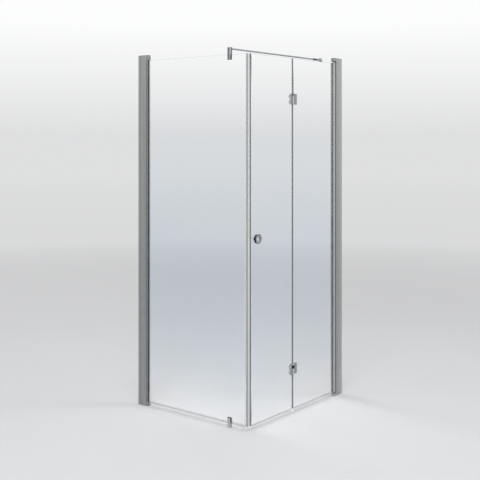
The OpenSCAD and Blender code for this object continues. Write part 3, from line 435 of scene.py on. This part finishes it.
vinyls = {
    "clear": {"low": (0.60, 0.62, 0.64), "high": (0.70, 0.72, 0.74), "rough": (0.20, 0.32),
              "clear": 0.95, "bump": 0.08},
    "milky": {"low": (0.80, 0.82, 0.83), "high": (0.86, 0.88, 0.89), "rough": (0.26, 0.38),
              "clear": 0.04, "bump": 0.08},
    "silver": {"low": (0.36, 0.378, 0.378), "high": (0.42, 0.438, 0.438), "rough": (0.26, 0.38),
               "clear": 0.06, "bump": 0.08},
    "slate": {"low": (0.068, 0.074, 0.077), "high": (0.092, 0.099, 0.102), "rough": (0.30, 0.44),
              "clear": 0.05, "bump": 0.08},
    "ash": {"low": (0.140, 0.148, 0.153), "high": (0.168, 0.177, 0.182), "rough": (0.30, 0.44),
            "clear": 0.06, "bump": 0.08},
    "black": {"low": (0.022, 0.025, 0.027), "high": (0.036, 0.040, 0.043), "rough": (0.55, 0.72),
              "clear": 0.0, "bump": 0.16},
    "smoke": {"low": (0.34, 0.36, 0.37), "high": (0.40, 0.42, 0.43), "rough": (0.26, 0.38),
              "clear": 0.82, "bump": 0.08},
    "cover": {"low": (0.86, 0.88, 0.90), "high": (0.92, 0.94, 0.96), "rough": (0.26, 0.38),
              "clear": 0.35, "bump": 0.06},
    "frost": {"low": (0.72, 0.74, 0.76), "high": (0.80, 0.82, 0.84), "rough": (0.26, 0.38),
              "clear": 0.72, "bump": 0.08},
}

# a seal's body, and the strips laid over it: each past a place along an axis, in metres
bottomSeal = {"body": "frost", "strips": [("Z", sideEdge[2] - 0.0055, "smoke"),
                                          ("Z", sideEdge[2] + 0.0005, "clear")]}
paleDiscs = {"body": "cover", "strips": []}
sealStrips = {
    "plain": {"body": "clear", "strips": []},
    "side_magnet_seal": {"body": "silver", "strips": [("X", sideEdge[0] + 0.003, "milky"),
                                                      ("Y", sideEdge[1] - 0.0005, "clear")]},
    "door_magnet_seal": {"body": "milky", "strips": [("X", leadEdge[0] - 0.0093, "slate"),
                                                     ("X", leadEdge[0] + 0.0016, "clear")]},
    "fold_seal": {"body": "clear", "strips": [("X", seamLeft + 0.0048, "ash"),
                                              ("X", seamRight + 0.0035, "clear"),
                                              ("Y", leadEdge[1], "clear")]},
    "side_outer_gasket": {"body": "black", "strips": [("Y", sideFar + 0.0015, "frost")]},
    "side_bottom_seal": bottomSeal,
    "wall_panel_bottom_seal": bottomSeal,
    "lead_panel_bottom_seal": bottomSeal,
    "wall_leaf_inner_discs": paleDiscs,
    "lead_leaf_inner_discs": paleDiscs,
}

vinylMarks = {
    "ripple": (240.0, 2.0),
    "stretch": (1, 1, 0.02),
    "roughSpan": (0.3, 0.7),
    "bumpDepth": 0.0003,
    "ior": 1.52,
}


def vinylShader(tree, v):
    ripple = noiseAt(tree, objectPlace(tree, vinylMarks["stretch"]), *vinylMarks["ripple"])
    vinyl = addNode(tree, "ShaderNodeBsdfPrincipled")
    setInputs(vinyl, {"IOR": vinylMarks["ior"]})
    tree.links.new(mixColours(tree, ripple, v["low"], v["high"]), vinyl.inputs["Base Color"])
    rough = remap(tree, ripple, *vinylMarks["roughSpan"], *v["rough"])
    tree.links.new(rough, vinyl.inputs["Roughness"])
    bump = addBump(tree, ripple, v["bump"], vinylMarks["bumpDepth"])
    tree.links.new(bump, vinyl.inputs["Normal"])
    clear = addNode(tree, "ShaderNodeBsdfTransparent")
    return mixShaders(tree, v["clear"], vinyl.outputs[0], clear.outputs[0])


def makeSeal(name, s):
    mat, tree, out = newMaterial(name + "_vinyl")
    surface = vinylShader(tree, vinyls[s["body"]])
    for axis, limit, kind in s["strips"]:
        strip = vinylShader(tree, vinyls[kind])
        surface = mixShaders(tree, pastLimit(tree, axis, limit), surface, strip)
    tree.links.new(surface, out.inputs["Surface"])
    return mat


# toughened glass: clear faces with a tint that changes with height and with the way a pane faces,
# painted shade deepest at mid height; ground edges of a pale green

glass = {
    "shadedTint": {"X": (0.825, 0.888, 0.935), "Y": (0.845, 0.905, 0.955)},  # painted shade, set by the way the pane faces
    "clearTint": (1.0, 1.0, 1.0),
    "shadeByHeight": [(0.0, 1.0), (0.12, 0.85), (0.30, 0.25), (0.55, 0.0), (0.95, 0.0), (1.30, 0.35),
                 (1.80, 1.0)],  # height in metres, and how far from the shaded tint to the clear one; painted shade deepest between 0.55 and 0.95 m
    "ior": 1.5,
    "edgeLow": (0.30, 0.39, 0.385),
    "edgeHigh": (0.40, 0.50, 0.49),
    "edgeRough": (0.25, 0.45),
    "edgeClear": (0.85, 0.20),  # upright edges, lying edges
    "grind": (1600.0, 2.0),
    "grindSpan": (0.3, 0.7),
    "lyingPast": 0.7,           # a normal's share along an axis, here and below
    "facePast": 0.9,
    "faceAlong": {"side_glass": "X", "wall_panel_glass": "Y", "lead_panel_glass": "Y"},
}


def facesAlong(tree, axis, least):
    coord = addNode(tree, "ShaderNodeTexCoord")
    size = addNode(tree, "ShaderNodeMath", operation="ABSOLUTE")
    tree.links.new(alongAxis(tree, coord.outputs["Normal"], axis), size.inputs[0])
    return isPast(tree, size.outputs[0], least)


def makeGlass(name, g, across):
    mat, tree, out = newMaterial(name)
    # painted shade: the tint deepens at mid height and clears towards the floor and the top
    rise = paintedToneOf(tree, "Object", "Z", g["shadeByHeight"])
    tint = mixColours(tree, rise, g["shadedTint"][across], g["clearTint"])
    pane = addNode(tree, "ShaderNodeBsdfPrincipled")
    setInputs(pane, {"Transmission Weight": 1.0, "IOR": g["ior"], "Roughness": 0.0})
    tree.links.new(tint, pane.inputs["Base Color"])
    lit = addNode(tree, "ShaderNodeBsdfTransparent")  # the floor behind is lit untinted
    rays = addNode(tree, "ShaderNodeLightPath")
    faces = mixShaders(tree, rays.outputs["Is Shadow Ray"], pane.outputs[0], lit.outputs[0])

    grind = noiseAt(tree, objectPlace(tree), *g["grind"])
    edge = addNode(tree, "ShaderNodeBsdfPrincipled")
    setInputs(edge, {"IOR": g["ior"]})
    tree.links.new(mixColours(tree, grind, g["edgeLow"], g["edgeHigh"]), edge.inputs["Base Color"])
    rough = remap(tree, grind, *g["grindSpan"], *g["edgeRough"])
    tree.links.new(rough, edge.inputs["Roughness"])
    tinted = addNode(tree, "ShaderNodeBsdfTransparent")
    tree.links.new(tint, tinted.inputs["Color"])
    lying = facesAlong(tree, "Z", g["lyingPast"])  # upright edges sit in seals, pass more light
    edgeClear = mixShaders(tree, remap(tree, lying, 0.0, 1.0, *g["edgeClear"]),
                           edge.outputs[0], tinted.outputs[0])
    surface = mixShaders(tree, facesAlong(tree, across, g["facePast"]), edgeClear, faces)
    tree.links.new(surface, out.inputs["Surface"])
    return mat


slotOf = {s["node"]: s["material_slot"] for s in frame["record"]["subparts"]}
finishes = {name: makeMetal(name, m) for name, m in metals.items()}
finishes.update({name: makePlastic(name, p) for name, p in plastics.items()})
seals = {name: makeSeal(name, s) for name, s in sealStrips.items()}
glassFinish = {axis: makeGlass("clear_glass_" + axis, glass, axis) for axis in ("X", "Y")}

# nodes that look other than their slot's finish
ownFinish = {
    "pivot_profile": "pivot_tube",
    "side_wall_channel": "side_channel",
    "side_glass_profile": "side_profile",
    "door_wall_channel": "door_channel",
    "bar_clamp": "clamp_chrome",
    "floor_bracket": "bracket_chrome",
    "bar_sleeve": "chrome_sleeve",
    "bar_wall_flange": "chrome_bar",
    "outer_knob": "chrome_knob",
    "inner_knob": "chrome_knob",
    "bottom_pivot_block": "pale_cap",
    "pivot_outer_gasket": "slate_gasket",
    "pivot_gap_seal": "slate_gasket",
    "wall_leaf_screws": "bright_fastener",
    "lead_leaf_screws": "bright_fastener",
}


def finishFor(node):
    if slotOf[node] == "clear_glass":
        return glassFinish[glass["faceAlong"][node]]
    if node in seals:
        return seals[node]
    return finishes.get(ownFinish.get(node, slotOf[node]), seals["plain"])


for node, ob in frame["nodes"].items():
    for slot in ob.material_slots:
        slot.material = finishFor(node)
print("finishes on:", len(frame["nodes"]), "nodes")


# knobs: turned in place of the drawn ones, dished, the outer one with a stepped rim

bodyOf = {n: body for body, nodes in frame["record"]["behaviour"]["bodies"].items() for n in nodes}

knobs = {
    "outer_knob": {"front": -1, "sides": 128, "rim": 0.0011,  # rings: width and depth of each
                   "rings": [(0.0022, 0.0), (0.0004, -0.0009), (0.0010, 0.0), (0.0004, 0.0009),
                             (0.0045, 0.0), (0.0030, -0.0006), (0.0035, -0.0011),
                             (0.0040, -0.0009), (0.0040, -0.0004)]},
    "inner_knob": {"front": 1, "sides": 96, "rim": 0.0008,
                   "rings": [(0.0025, 0.0), (0.0020, -0.0004), (0.0025, -0.0006),
                             (0.0025, -0.0003)]},
}

turning = {
    "facePast": 0.9,       # a front face's normal
    "levelWithin": 1e-6,
    "radiusWithin": 1e-5,
    "rimSteps": 4,
    "smoothAngle": 32,
}


def turnKnob(node, k):
    low, high = (Vector(c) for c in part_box(node))
    middle = (low + high) / 2
    radius = (high.x - low.x) / 2
    bpy.ops.object.select_all(action="DESELECT")
    bpy.ops.mesh.primitive_cylinder_add(vertices=k["sides"], radius=radius,
                                        depth=high.y - low.y, location=middle,
                                        rotation=(math.pi / 2, 0, 0))
    knob = bpy.context.object
    knob.name = node + "_turned"
    bpy.ops.object.transform_apply(location=True, rotation=True, scale=True)
    bpy.ops.object.mode_set(mode="EDIT")
    bpy.ops.mesh.select_all(action="DESELECT")
    bpy.ops.object.mode_set(mode="OBJECT")
    for face in knob.data.polygons:
        face.select = face.normal.y * k["front"] > turning["facePast"]
    bpy.ops.object.mode_set(mode="EDIT")
    bpy.ops.mesh.select_mode(type="FACE")
    for width, drop in k["rings"]:
        bpy.ops.mesh.inset(thickness=width, depth=drop, use_boundary=True)
    bpy.ops.mesh.select_all(action="DESELECT")
    bpy.ops.object.mode_set(mode="OBJECT")
    rimRadius = radius - turning["radiusWithin"]
    for edge in knob.data.edges:  # the two rims of the barrel
        ends = [knob.data.vertices[v].co for v in edge.vertices]
        level = abs(ends[0].y - ends[1].y) < turning["levelWithin"]
        outer = all(math.hypot(e.x - middle.x, e.z - middle.z) > rimRadius for e in ends)
        edge.select = level and outer
    bpy.ops.object.mode_set(mode="EDIT")
    bpy.ops.mesh.select_mode(type="EDGE")
    bpy.ops.mesh.bevel(offset=k["rim"], segments=turning["rimSteps"], affect="EDGES")
    bpy.ops.mesh.select_all(action="SELECT")
    bpy.ops.mesh.normals_make_consistent(inside=False)
    bpy.ops.object.mode_set(mode="OBJECT")
    bpy.ops.object.shade_smooth_by_angle(angle=math.radians(turning["smoothAngle"]))
    knob.data.materials.append(finishFor(node))
    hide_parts(node)
    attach(knob, bodyOf[node])


for node, k in knobs.items():
    turnKnob(node, k)
print("knobs turned:", len(knobs))


# floor, world and lamps

studio = {
    "floorSize": 60.0,
    "floorLow": (0.625, 0.628, 0.638),
    "floorHigh": (0.655, 0.658, 0.668),
    "floorRough": 0.85,
    "floorCloud": (0.8, 2.0),
    "midColour": (0.695, 0.698, 0.705),  # the floor's far half
    "farColour": (0.735, 0.738, 0.745),  # the horizon
    "topColour": (0.975, 0.978, 0.985),
    "fade": (2.6, 8.0),                  # where the lit floor gives way, in metres from the object
    "farFade": (7.0, 28.0),
    "rise": (0.0, 0.125),
    "worldLight": 0.60,
    "lampAim": (0, 0, 0.9),
    "lamps": [
        {"name": "keyLamp", "place": (-3.4, -2.4, 4.6), "size": 2.6, "power": 140.0},
        {"name": "fillLamp", "place": (2.6, -3.6, 5.4), "size": 2.0, "power": 65.0},
        {"name": "backLamp", "place": (0.6, 4.2, 5.4), "size": 2.0, "power": 65.0},
    ],
}


def addFloor(s):
    bpy.ops.object.select_all(action="DESELECT")
    bpy.ops.mesh.primitive_plane_add(size=s["floorSize"])
    floor = bpy.context.object
    floor.name = "floor"
    mat, tree, out = newMaterial("pale_floor")
    place = objectPlace(tree)
    plaster = addNode(tree, "ShaderNodeBsdfPrincipled")
    setInputs(plaster, {"Roughness": s["floorRough"]})
    cloud = noiseAt(tree, place, *s["floorCloud"])
    tree.links.new(mixColours(tree, cloud, s["floorLow"], s["floorHigh"]),
                   plaster.inputs["Base Color"])
    reach = addNode(tree, "ShaderNodeVectorMath", operation="LENGTH")
    tree.links.new(place, reach.inputs[0])
    far = addNode(tree, "ShaderNodeEmission")
    farther = remap(tree, reach.outputs["Value"], *s["farFade"], 0.0, 1.0)
    tree.links.new(mixColours(tree, farther, s["midColour"], s["farColour"]), far.inputs["Color"])
    fade = remap(tree, reach.outputs["Value"], *s["fade"], 0.0, 1.0)
    tree.links.new(mixShaders(tree, fade, plaster.outputs[0], far.outputs[0]),
                   out.inputs["Surface"])
    floor.data.materials.append(mat)


def addWorld(s):
    world = bpy.data.worlds.new("studioWorld")
    bpy.context.scene.world = world
    world.use_nodes = True
    tree = world.node_tree
    tree.nodes.clear()
    out = tree.nodes.new("ShaderNodeOutputWorld")
    light = addNode(tree, "ShaderNodeBackground")
    setInputs(light, {"Color": (1, 1, 1, 1), "Strength": s["worldLight"]})
    seen = addNode(tree, "ShaderNodeBackground")
    coord = addNode(tree, "ShaderNodeTexCoord")
    rise = remap(tree, alongAxis(tree, coord.outputs["Generated"], "Z"), *s["rise"], 0.0, 1.0)
    tree.links.new(mixColours(tree, rise, s["farColour"], s["topColour"]), seen.inputs["Color"])
    rays = addNode(tree, "ShaderNodeLightPath")
    anySeen = rays.outputs["Is Camera Ray"]
    for kind in ("Is Glossy Ray", "Is Transmission Ray"):  # metal and glass show the backdrop too
        anySeen = combine(tree, "MAXIMUM", anySeen, rays.outputs[kind])
    tree.links.new(mixShaders(tree, anySeen, light.outputs[0], seen.outputs[0]),
                   out.inputs["Surface"])


def addLamp(lamp, aimAt):
    data = bpy.data.lights.new(lamp["name"], "AREA")
    data.energy = lamp["power"]
    data.size = lamp["size"]
    ob = bpy.data.objects.new(lamp["name"], data)
    ob.location = lamp["place"]
    aim = Vector(aimAt) - Vector(lamp["place"])
    ob.rotation_euler = aim.to_track_quat("-Z", "Y").to_euler()
    bpy.context.collection.objects.link(ob)
    ob.visible_camera = False
    ob.visible_transmission = False  # a lamp isn't seen through the glass


addFloor(studio)
addWorld(studio)
for lamp in studio["lamps"]:
    addLamp(lamp, studio["lampAim"])
bpy.context.scene.view_settings.view_transform = "Standard"
print("studio lit")
